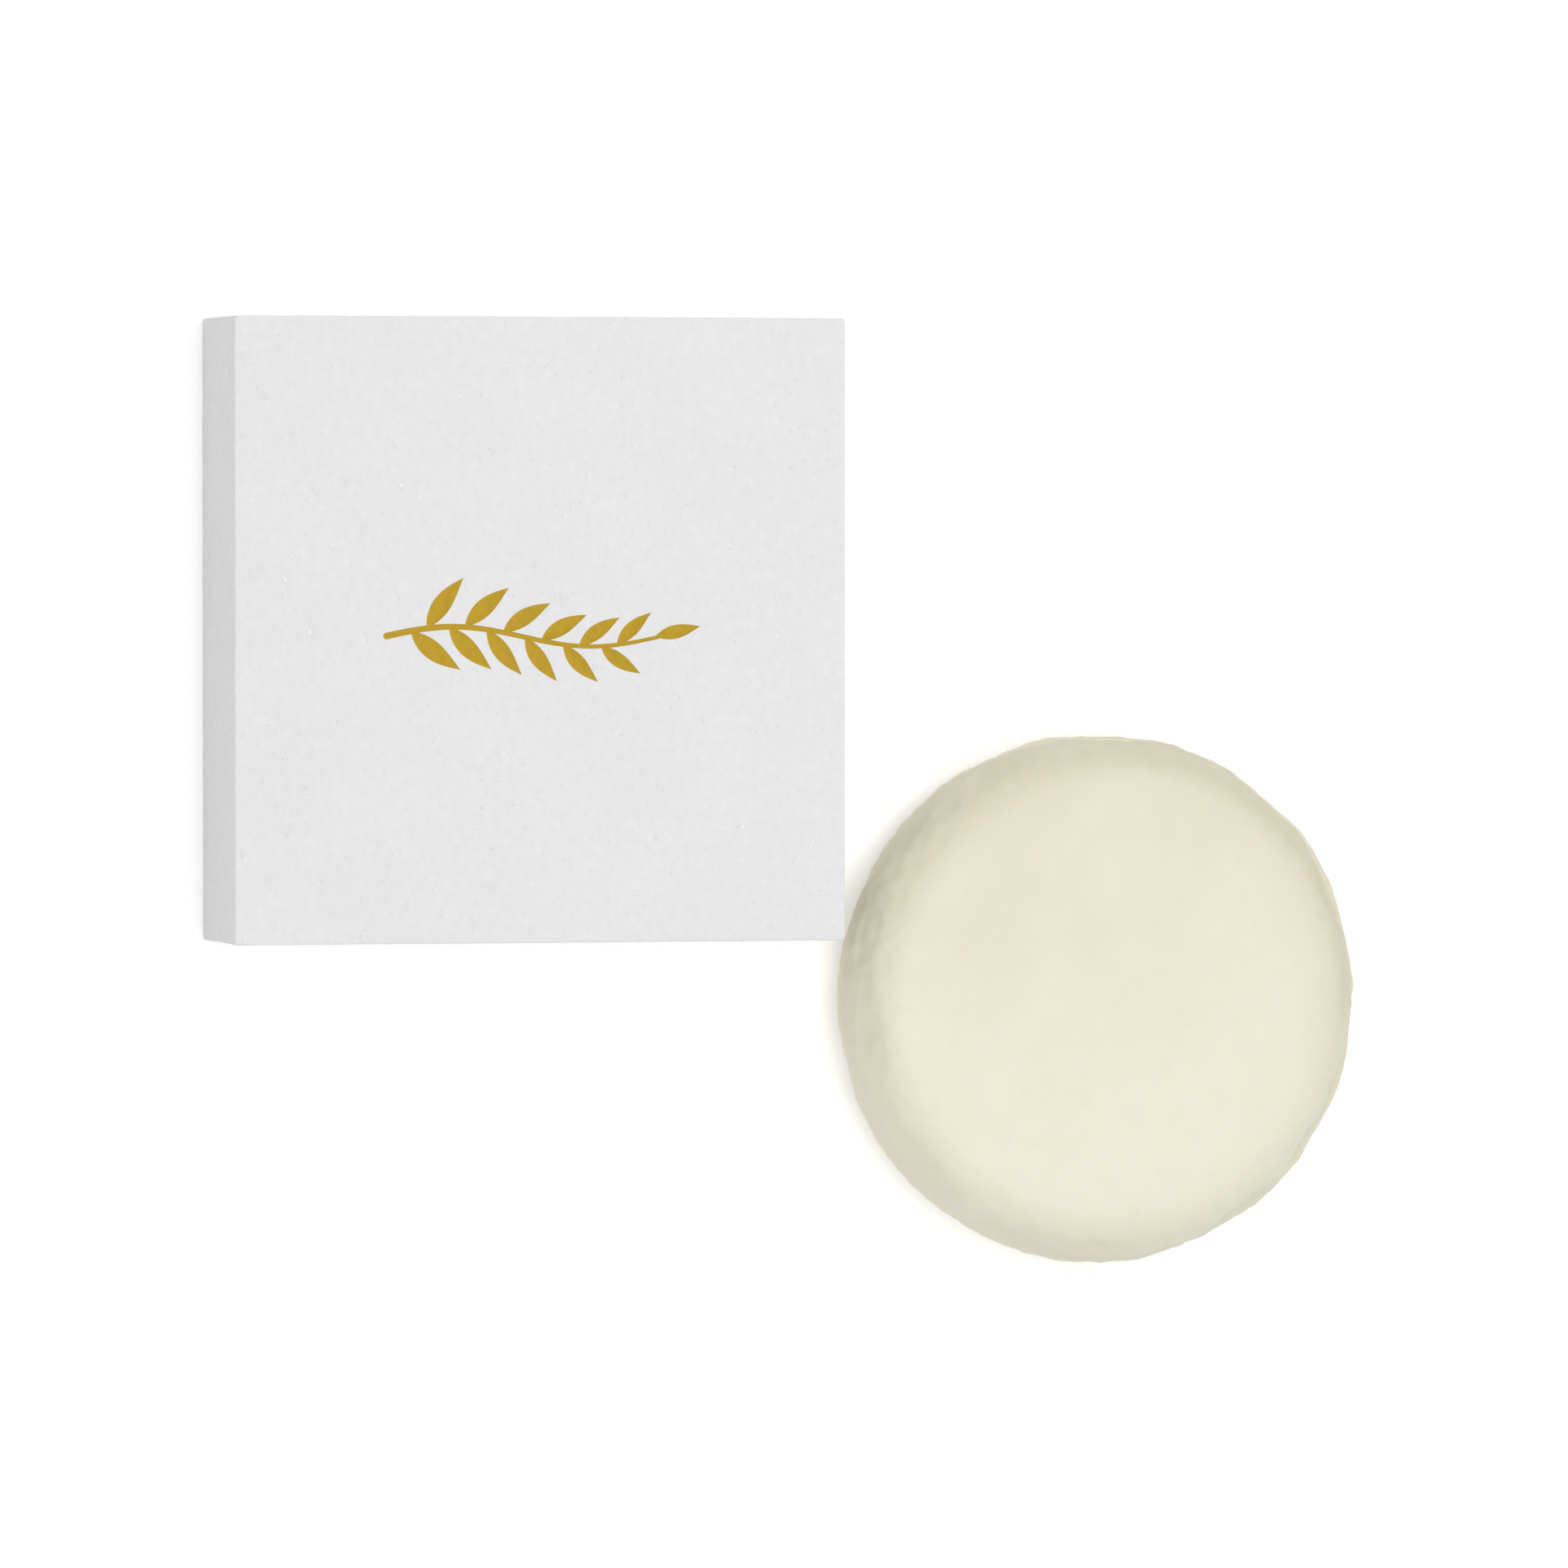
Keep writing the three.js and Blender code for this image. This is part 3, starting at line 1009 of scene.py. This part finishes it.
@dataclass
class Liner:
    """The loose glassine square in the tray: creased where it was folded, and lifting at its edges."""

    paper: float = 0.04 * MM
    lines: int = 150
    creases: int = 14
    crease_height: float = 0.3 * MM
    crease_width: float = 3.2 * MM
    lift: float = 1.6 * MM
    slow: Unevenness = Unevenness(42, 12 * MM, 40 * MM)
    slow_height: float = 0.05 * MM
    seed: int = 41

    def piece(self) -> bpy.types.Object:
        """Builds the square.

        Its height is a tent along each random straight crease, plus a lift that grows with the
        eighth power of the distance from the middle towards each edge, plus a slow wave.

        Returns:
            The square.
        """
        low, high = corners_of("glassine_liner")
        half = high[0]
        line = np.linspace(-1, 1, self.lines) * half
        x, y = np.meshgrid(line, line, indexing="ij")
        chance = np.random.default_rng(self.seed)
        angle = chance.uniform(0, math.pi, self.creases)
        offset = chance.uniform(-0.8, 0.8, self.creases) * half
        size = chance.uniform(0.3, 1, self.creases) * self.crease_height
        away = x[..., None] * np.cos(angle) + y[..., None] * np.sin(angle) - offset
        tents = (size * np.clip(1 - np.abs(away) / self.crease_width, 0, 1)).sum(axis=-1)
        flat = np.stack([x, y, np.zeros_like(x)], axis=-1)
        slow = self.slow.height(flat.reshape(-1, 3)).reshape(x.shape)
        edge = np.maximum(np.abs(x), np.abs(y)) / half
        lift = self.lift * edge**8 * (0.6 + 0.25 * slow)
        height = tents + lift + self.slow_height * np.clip(slow + 2, 0, 4)
        lower = flat + [0, 0, low[2]] + height[..., None] * [0, 0, 1]
        upper = lower + [0, 0, self.paper]
        for side in (np.s_[0], np.s_[-1], np.s_[:, 0], np.s_[:, -1]):
            upper[side] = lower[side]
        shell = Shell()
        shell.leaf(upper, lower)
        return shell.piece("glassine_square")


@dataclass
class FoilSprig:
    """The stamped sprig: a waved stem, pairs of curled leaves and an end leaf.

    Every leaf is a strip whose half width swells and closes with a sine along it, and whose
    middle line curls with the square of the distance along it. Each stroke is slightly domed.

    Attributes:
        first: Where the first leaf leaves the stem, as a share of the stem.
        span: How much of the stem the leaves take up.
        stagger: How far one side's leaves stand ahead of the other's, as a share of a pair's room.
        spread: The angle between a leaf and the stem at its root, in degrees.
        close: How much less that angle is at the tip.
        shrink: How much smaller a leaf is at the tip, as a share.
        dome: The height of a stroke's dome.
        seat: How far its edge stands off the paper.
    """

    stem: float = 40 * MM
    wave: float = 1.4 * MM
    pairs: int = 6
    stem_width: float = 0.8 * MM
    leaf_length: float = 9.2 * MM
    leaf_width: float = 2.7 * MM
    curl: float = 0.12
    tip_size: float = 0.72
    first: float = 0.1
    span: float = 0.82
    stagger: float = 0.42
    spread: float = 56.0
    close: float = 16.0
    shrink: float = 0.33
    stem_rows: int = 121
    leaf_rows: int = 33
    columns: int = 9
    dome: float = 0.025 * MM
    seat: float = 0.008 * MM

    def stroke(self, middle: np.ndarray, half: np.ndarray) -> Stroke:
        """Works out one stroke of foil.

        Args:
            middle: The points of the stroke's middle line, in X and Y.
            half: The stroke's half width at each of them, 0 at both ends.

        Returns:
            The stroke's flat grid and its dome.
        """
        along = np.gradient(middle, axis=0)
        along /= np.linalg.norm(along, axis=1, keepdims=True)
        across = np.stack([-along[:, 1], along[:, 0]], axis=-1)
        share = np.linspace(-1, 1, self.columns)
        flat = middle[:, None] + across[:, None] * (half[:, None] * share)[..., None]
        bulge = (1 - share**2) * np.sqrt(half / half.max())[:, None]
        return flat, bulge

    def stem_line(self, share: np.ndarray | float) -> np.ndarray:
        """Returns the stem's points at shares of its length: one slow wave from end to end."""
        share = np.asarray(share, float)
        return np.stack([(share - 0.5) * self.stem, self.wave * np.sin(2 * math.pi * share)], axis=-1)

    def stem_angle(self, share: float) -> float:
        """Returns the stem's direction at a share of its length."""
        return math.atan2(2 * math.pi * self.wave * math.cos(2 * math.pi * share), self.stem)

    def stem_stroke(self) -> Stroke:
        """Works out the stem, which thins towards the tip and has rounded ends.

        Returns:
            The stem's stroke.
        """
        share = np.linspace(0, 1, self.stem_rows)
        ends = np.sqrt(np.minimum(1, np.minimum(share, 1 - share) * self.stem / self.stem_width * 2.5))
        return self.stroke(self.stem_line(share), 0.5 * self.stem_width * (1.15 - 0.5 * share) * ends)

    def leaf(self, root: np.ndarray, angle: float, size: float, curl: float) -> Stroke:
        """Works out one leaf.

        Args:
            root: Where the leaf leaves the stem, in X and Y.
            angle: The direction it leaves in.
            size: Its size as a share of the largest leaf.
            curl: How far its tip curls to the left, as a share of its length.

        Returns:
            The leaf's stroke.
        """
        share = np.linspace(0, 1, self.leaf_rows)
        length = self.leaf_length * size
        swell = np.maximum(np.sin(math.pi * share**0.85), 0)
        local = np.stack([share * length, curl * length * share**2], axis=-1)
        turn = np.array([[math.cos(angle), math.sin(angle)], [-math.sin(angle), math.cos(angle)]])
        return self.stroke(local @ turn + root, 0.5 * self.leaf_width * size * swell)

    def leaves(self) -> list[Stroke]:
        """Works out the pairs of leaves and the end leaf.

        Towards the tip the leaves are smaller and lie closer to the stem.

        Returns:
            The leaves' strokes.
        """
        leaves = []
        for pair in range(self.pairs):
            for side in (-1, 1):
                stagger = self.stagger if side > 0 else 0.0
                place = self.first + self.span * (pair + stagger) / self.pairs
                angle = self.stem_angle(place) + side * math.radians(self.spread - self.close * place)
                size = 1 - self.shrink * place
                leaves.append(self.leaf(self.stem_line(place), angle, size, -side * self.curl))
        tip = self.stem_line(1.0) - [self.stem_width, 0]
        return [*leaves, self.leaf(tip, self.stem_angle(1.0), self.tip_size, 0.0)]

    def piece(self) -> bpy.types.Object:
        """Builds the sprig, centred on its node and lying on the paper's unevenness.

        Returns:
            The sprig.
        """
        strokes = [self.stem_stroke(), *self.leaves()]
        low, high = corners_of("lid_foil_sprig")
        flats = np.concatenate([flat.reshape(-1, 2) for flat, _ in strokes])
        shift = (low + high)[:2] / 2 - (flats.min(axis=0) + flats.max(axis=0)) / 2
        top = corners_of("lid_paper_wrap")[1][2]
        shell = Shell()
        for flat, bulge in strokes:
            place = np.concatenate([flat + shift, np.full((*bulge.shape, 1), top)], axis=-1)
            sunk = PaperFace().depth(place.reshape(-1, 3)).reshape(bulge.shape)
            lower = place + (self.seat - sunk)[..., None] * [0, 0, 1]
            shell.leaf(lower + (self.dome * bulge)[..., None] * [0, 0, 1], lower)
        return shell.piece("foil_sprig")


# ---------------------------------------------------------------- the puck


@dataclass(frozen=True)
class Cut:
    """A flat pared off the puck's edge with a knife.

    Attributes:
        bearing: Where it faces, in degrees anticlockwise from +X.
        rise: How far it tilts upwards, in degrees.
        reach: How far it lies from the puck's middle, as a share of the radius.
    """

    bearing: float
    rise: float
    reach: float


@dataclass(frozen=True)
class Chip:
    """A small hollow broken out of the puck's edge.

    Attributes:
        bearing: Where it is, in degrees anticlockwise from +X.
        rise: How far up the rounded edge, from 0 at its middle to 90 on the face.
        size: Its radius.
        depth: How deep it goes.
    """

    bearing: float
    rise: float
    size: float
    depth: float


BROAD_CUTS = (
    Cut(89, 4, 0.972),
    Cut(74, -6, 0.985),
    Cut(101, 8, 0.984),
    Cut(297, 3, 0.984),
    Cut(284, -5, 0.990),
    Cut(246, 10, 0.990),
    Cut(206, 6, 0.992),
    Cut(182, 12, 0.988),
    Cut(163, 6, 0.990),
    Cut(140, 14, 0.989),
    Cut(52, 10, 0.992),
    Cut(12, 12, 0.990),
    Cut(354, 14, 0.989),
    Cut(330, 8, 0.992),
)

CHIPS = (
    Chip(172, 30, 2.4 * MM, 0.34 * MM),
    Chip(178, 38, 1.5 * MM, 0.26 * MM),
    Chip(188, 33, 2.0 * MM, 0.30 * MM),
    Chip(98, 46, 1.5 * MM, 0.26 * MM),
    Chip(80, 50, 1.9 * MM, 0.14 * MM),
    Chip(40, 42, 2.1 * MM, 0.22 * MM),
    Chip(352, 40, 1.4 * MM, 0.22 * MM),
    Chip(318, 30, 1.7 * MM, 0.20 * MM),
    Chip(268, 44, 1.2 * MM, 0.24 * MM),
    Chip(258, 47, 1.0 * MM, 0.20 * MM),
    Chip(222, 28, 1.9 * MM, 0.18 * MM),
    Chip(130, 34, 2.1 * MM, 0.24 * MM),
)


@dataclass
class Puck:
    """The soap: a flat-faced round with a full, soft edge that was trimmed by hand.

    Its cross-section is a superellipse: the fifth power of the distance beyond the flat middle,
    plus the square of the height from the mid plane, each as a share of its own limit, make one.
    The edge is then pared by flats, and the points between two flats are softened.

    Attributes:
        margin: How far the outline stays inside its node.
        flat_share: The radius of the flat middle, as a share of the puck's.
        softness: How softly two flats meet.
        deep_cut: The depth of paring that counts as a full mark.
        pared_from: The share of the radius from which the edge is pared.
        least_facing: The least share of a cut's depth that a point moves by.
        swell: How far the outline swells at one bearing, in metres.
        swell_bearing: That bearing, in degrees.
        swell_width: How wide the swelling is, in degrees.
        slow_depth: The depth of the slow unevenness for each of its units.
        chatter_depth: The same for the knife's chatter, which is on the edge only.
        chatter_from: The share of the radius where the chatter starts.
        chatter_full: The share of the radius where it is full.
        lying_share: The share of the half height below which nothing is pressed in.
    """

    margin: float = 0.12 * MM
    flat_share: float = 0.5
    roundness: float = 5.0
    around: int = 560
    edge_rings: int = 90
    face_rings: int = 20
    small_cuts: int = 46
    softness: float = 0.06 * MM
    deep_cut: float = 0.5 * MM
    pared_from: float = 0.8
    least_facing: float = 0.2
    swell: float = 0.3 * MM
    swell_bearing: float = 35.0
    swell_width: float = 13.0
    slow: Unevenness = Unevenness(52, 9 * MM, 26 * MM)
    slow_depth: float = 0.03 * MM
    chatter: Unevenness = Unevenness(53, 1.8 * MM, 5 * MM)
    chatter_depth: float = 0.055 * MM
    chatter_from: float = 0.82
    chatter_full: float = 0.92
    lying_share: float = 0.985
    seed: int = 51

    def __post_init__(self) -> None:
        """Takes the puck's place and size from its node."""
        low, high = corners_of("soap_puck")
        self.middle = (low + high) / 2
        self.radius = (high[0] - low[0]) / 2 - self.margin
        self.half_height = (high[2] - low[2]) / 2

    def profile(self) -> np.ndarray:
        """Works out the cross-section from the middle of the top to the middle of the bottom.

        Returns:
            Rows of a radius and a height from the mid plane.
        """
        flat = self.flat_share * self.radius
        angle = np.linspace(0, math.pi, self.edge_rings)
        swell = np.abs(np.sin(angle)) ** (2 / self.roundness)
        height = self.half_height * np.cos(angle)
        edge = np.stack([flat + (self.radius - flat) * swell, height], axis=-1)
        face = np.linspace(0, edge[1, 0], self.face_rings, endpoint=False)
        top = np.stack([face, np.full_like(face, height[0])], axis=-1)
        bottom = top[::-1] * [1, -1]
        return np.concatenate([top, edge[1:-1], bottom])

    def cuts(self) -> list[Cut]:
        """Lists the broad flats, with small ones at uneven bearings between them.

        Returns:
            All the cuts.
        """
        chance = np.random.default_rng(self.seed)
        step = 360 / self.small_cuts
        small = [
            Cut(
                step * (index + chance.uniform(-0.4, 0.4)),
                chance.uniform(-26, 42),
                1.0 - chance.uniform(0.003, 0.014),
            )
            for index in range(self.small_cuts)
        ]
        return [*BROAD_CUTS, *small]

    def pare(self, points: np.ndarray) -> tuple[np.ndarray, np.ndarray]:
        """Pares the flats off the edge.

        A point beyond a flat is moved straight back to it. The amounts of all the flats are
        joined by a smooth maximum, the logarithm of the sum of their exponentials.

        Args:
            points: Rows of three coordinates about the puck's middle.

        Returns:
            The pared points, and how deep each was pared.
        """
        inner = self.radius - self.half_height
        out = points[:, :2] / np.maximum(np.linalg.norm(points[:, :2], axis=1, keepdims=True), TINY)
        core = np.concatenate([out * inner, np.zeros((len(points), 1))], axis=1)
        beam = points - core
        edge = np.linalg.norm(points[:, :2], axis=1) > self.radius * self.pared_from
        length = np.linalg.norm(beam, axis=1)
        beam /= np.maximum(length, TINY)[:, None]
        over = np.zeros(len(points))
        for cut in self.cuts():
            bearing, rise = math.radians(cut.bearing), math.radians(cut.rise)
            normal = np.array([
                math.cos(bearing) * math.cos(rise),
                math.sin(bearing) * math.cos(rise),
                math.sin(rise),
            ])
            reach = inner * math.cos(rise) + self.half_height - (1 - cut.reach) * self.radius
            facing = np.maximum(beam @ normal, self.least_facing)
            beyond = (points @ normal - reach) / facing
            over += np.exp(np.clip(beyond / self.softness, -LARGEST_POWER, LARGEST_POWER))
        back = self.softness * np.log1p(over) * edge
        return points - beam * back[:, None], back

    def chip(self, points: np.ndarray) -> np.ndarray:
        """Works out how deep the chips are, each a bell that falls off from its middle.

        Args:
            points: Rows of three coordinates about the puck's middle.

        Returns:
            The depth at each of them.
        """
        depth = np.zeros(len(points))
        inner = self.radius - self.half_height
        for chip in CHIPS:
            bearing, rise = math.radians(chip.bearing), math.radians(chip.rise)
            far = inner + self.half_height * math.cos(rise)
            spot = np.array([
                far * math.cos(bearing),
                far * math.sin(bearing),
                self.half_height * math.sin(rise),
            ])
            near = np.linalg.norm(points - spot, axis=1) / chip.size
            depth += chip.depth * np.exp(-(near**4))
        return depth

    def piece(self) -> bpy.types.Object:
        """Builds the puck.

        The cross-section is carried round the middle. Its outline swells by a bell about one
        bearing, which fades inwards with the sixth power of the radius. It is pared, and then the
        slow unevenness, the knife's chatter and the chips are pressed in.

        Returns:
            The puck.
        """
        profile = self.profile()
        angle = np.linspace(0, 2 * math.pi, self.around, endpoint=False)
        radius, height = profile[:, 0, None], profile[:, 1, None]
        near = (np.degrees(angle) - self.swell_bearing) / self.swell_width
        grown = radius + self.swell * np.exp(-(near**2)) * (radius / self.radius) ** 6
        level = np.broadcast_to(height, grown.shape)
        points = np.stack([grown * np.cos(angle), grown * np.sin(angle), level], axis=-1)
        points, pared = self.pare(points.reshape(-1, 3))
        mark = np.clip(pared / self.deep_cut, 0, 1)
        marked = np.column_stack([points + self.middle, mark])
        shell = Shell()
        shell.grid(marked.reshape(*grown.shape, 4), around=True)
        piece = shell.piece("puck_of_soap")
        about = vertices_of(piece) - self.middle
        share = np.linalg.norm(about[:, :2], axis=1) / self.radius
        rim = np.clip((share - self.chatter_from) / (self.chatter_full - self.chatter_from), 0, 1)
        depth = self.slow_depth * np.clip(self.slow.height(about) + 2.4, 0, 5)
        depth += self.chatter_depth * rim * np.clip(self.chatter.height(about) + 2, 0, 4)
        lying = about[:, 2] < -self.lying_share * self.half_height
        press(piece, np.where(lying, 0, depth + self.chip(about)))
        return piece


# ---------------------------------------------------------------- assembly


class SoapBox:
    """The box: a tray and a full-depth lid, each of boards, stays, sheets and a paper wrap."""

    def __init__(self) -> None:
        """Builds the finishes that the box's pieces share."""
        self.cotton = CottonPaper().material()
        self.lining = LiningPaper().material()
        self.grey = Greyboard().material()
        self.kraft = GummedPaper().material()

    def build(self) -> None:
        """Builds and dresses every piece of the box."""
        for body in (Body.LID, Body.TRAY):
            self.build_boards(body)
            self.dress_stays(body)
        self.build_wraps()
        self.build_sheets()
        fit(FoilSprig().piece(), GoldFoil().material(), Body.LID, "gold_foil", "lid_foil_sprig")
        fit(Liner().piece(), Glassine().material(), Body.TRAY, "glassine", "glassine_liner")

    def build_boards(self, body: Body) -> None:
        """Builds the five greyboard panels of one half of the box.

        Args:
            body: The lid or the tray.
        """
        first = "top" if body is Body.LID else "bottom"
        for place in (first, "front", "back", "left", "right"):
            node = f"{body.value}_{place}_board"
            fit(Boards().piece(node), self.grey, body, "greyboard", node)

    def dress_stays(self, body: Body) -> None:
        """Gives the four corner stays of one half of the box their gummed paper.

        Args:
            body: The lid or the tray.
        """
        for corner in ("back_right", "back_left", "front_left", "front_right"):
            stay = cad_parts[f"{body.value}_corner_stay_{corner}"]
            stay.data.materials.clear()
            stay.data.materials.append(self.kraft)
            LOG.info("%s: gummed paper", stay.name)

    def build_wraps(self) -> None:
        """Builds the cotton paper of the lid and the tray."""
        low, high = corners_of("lid_paper_wrap")
        lid = LidWrap(half=high[0], wall=self.wall_of(Body.LID), top=high[2], rim=low[2])
        fit(lid.piece(), self.cotton, Body.LID, "cotton_paper", "lid_paper_wrap")
        low, high = corners_of("tray_paper_wrap")
        floor = corners_of("tray_lining_sheet")[0][2]
        wall = self.wall_of(Body.TRAY)
        tray = TrayWrap(half=high[0], wall=wall, base=low[2], rim=high[2], floor=floor)
        fit(tray.piece(), self.cotton, Body.TRAY, "cotton_paper", "tray_paper_wrap")

    @staticmethod
    def wall_of(body: Body) -> float:
        """Works out how thick a wall is with the paper on both its faces.

        Args:
            body: The lid or the tray.

        Returns:
            The thickness.
        """
        outer = corners_of(f"{body.value}_paper_wrap")[1][0]
        inner = -corners_of(f"{body.value}_left_board")[1][0] - GLUE - SquareWrap.paper
        return outer - inner

    def build_sheets(self) -> None:
        """Builds the lid's lining, the tray's lining and the sheet under the tray."""
        for body, place in ((Body.LID, "lining"), (Body.TRAY, "lining"), (Body.TRAY, "base")):
            node = f"{body.value}_{place}_sheet"
            fit(PastedSheets().piece(node), self.lining, body, "lining_paper", node)


@dataclass(frozen=True)
class Lamp:
    """A round lamp that faces the origin.

    Attributes:
        place: Where it hangs.
        size: Its width.
        power: Its power in watts.
    """

    place: tuple[float, float, float]
    size: float
    power: float

    def hang(self, name: str) -> None:
        """Puts the lamp into the scene.

        Args:
            name: The lamp's name.
        """
        light = bpy.data.lights.new(name, "AREA")
        light.shape = "DISK"
        light.size = self.size
        light.energy = self.power
        lamp = bpy.data.objects.new(name, light)
        lamp.location = self.place
        lamp.rotation_euler = (-Vector(self.place)).to_track_quat("-Z", "Y").to_euler()
        bpy.context.scene.collection.objects.link(lamp)


@dataclass
class Studio:
    """The pale surface, the soft light and the camera.

    Attributes:
        lens: The camera's focal length in millimetres.
        sensor: Its sensor's width in millimetres.
        lean_left: How far it leans to the left of straight above, in degrees.
        lean_back: How far it leans to the back.
        frame_width: The picture's width in units of its own.
        box_width: The lid's width in the same units.
        aim: Where it looks, in X and Y.
        room: The strength of the light from all round.
        softbox: The wide lamp above.
        window: The small lamp at the back right.
        floor_half: Half the width of the pale surface.
        floor_lines: The number of its grid's lines.
        floor_depth: Its thickness.
        clip_end: How far the camera sees.
    """

    lens: float = 260.0
    sensor: float = 36.0
    lean_left: float = 14.0
    lean_back: float = 1.2
    frame_width: float = 1932.0
    box_width: float = 768.0
    aim: tuple[float, float] = (35.0 * MM, -21.8 * MM)
    room: float = 0.5
    softbox: Lamp = Lamp((-0.1, -0.15, 2.4), 1.6, 29.0)
    window: Lamp = Lamp((0.55, 0.45, 0.85), 0.4, 2.1)
    floor_half: float = 2.5
    floor_lines: int = 11
    floor_depth: float = 5 * MM
    clip_end: float = 20.0

    def build(self) -> None:
        """Builds everything that isn't part of the object."""
        self.surface()
        self.light()
        self.camera()

    def surface(self) -> None:
        """Lays a wide pale square under everything, as a flat grid over a sunk one."""
        line = np.linspace(-1, 1, self.floor_lines) * self.floor_half
        x, y = np.meshgrid(line, line, indexing="ij")
        shell = Shell()
        upper = np.stack([x, y, np.zeros_like(x)], axis=-1)
        lower = upper.copy()
        lower[1:-1, 1:-1, 2] = -self.floor_depth
        shell.leaf(upper, lower)
        floor = shell.piece("pale_surface", smooth=False)
        floor.data.materials.append(PaleSurface().material())

    def light(self) -> None:
        """Fills the room with soft white light and hangs the two lamps."""
        world = bpy.data.worlds.new("soft_room")
        bpy.context.scene.world = world
        world.use_nodes = True
        background = world.node_tree.nodes["Background"]
        background.inputs["Color"].default_value = (1, 1, 1, 1)
        background.inputs["Strength"].default_value = self.room
        self.softbox.hang("softbox")
        self.window.hang("window")

    def camera(self) -> None:
        """Looks down on the lid, from a little to its left, with the lid's back edge level."""
        across = self.lens / self.sensor * self.frame_width
        low, high = corners_of("lid_paper_wrap")
        scale = (high[1] - low[1]) / self.box_width
        left, back = math.radians(self.lean_left), math.radians(self.lean_back)
        z = Vector((-math.sin(left), math.sin(back), math.cos(left) * math.cos(back))).normalized()
        x = Vector((0, 1, 0)).cross(z).normalized()
        y = z.cross(x)
        place = Vector((*self.aim, high[2])) + z * (across * scale)
        data = bpy.data.cameras.new("camera")
        data.lens = self.lens
        data.sensor_width = self.sensor
        data.clip_end = self.clip_end
        camera = bpy.data.objects.new("camera", data)
        turn = Matrix((x, y, z)).transposed()
        camera.matrix_world = Matrix.Translation(place) @ turn.to_4x4()
        bpy.context.scene.collection.objects.link(camera)
        bpy.context.scene.camera = camera
        bpy.context.scene.view_settings.view_transform = "Standard"


def main() -> None:
    """Builds the studio, the box and the puck in order."""
    logging.basicConfig(level=logging.INFO, format="%(name)s %(message)s")
    Studio().build()
    SoapBox().build()
    puck = Puck()
    soap = IvorySoap(tuple(puck.middle), puck.radius, puck.half_height)
    fit(puck.piece(), soap.material(), Body.PUCK, "soap", "soap_puck")


if __name__ == "__main__":
    main()
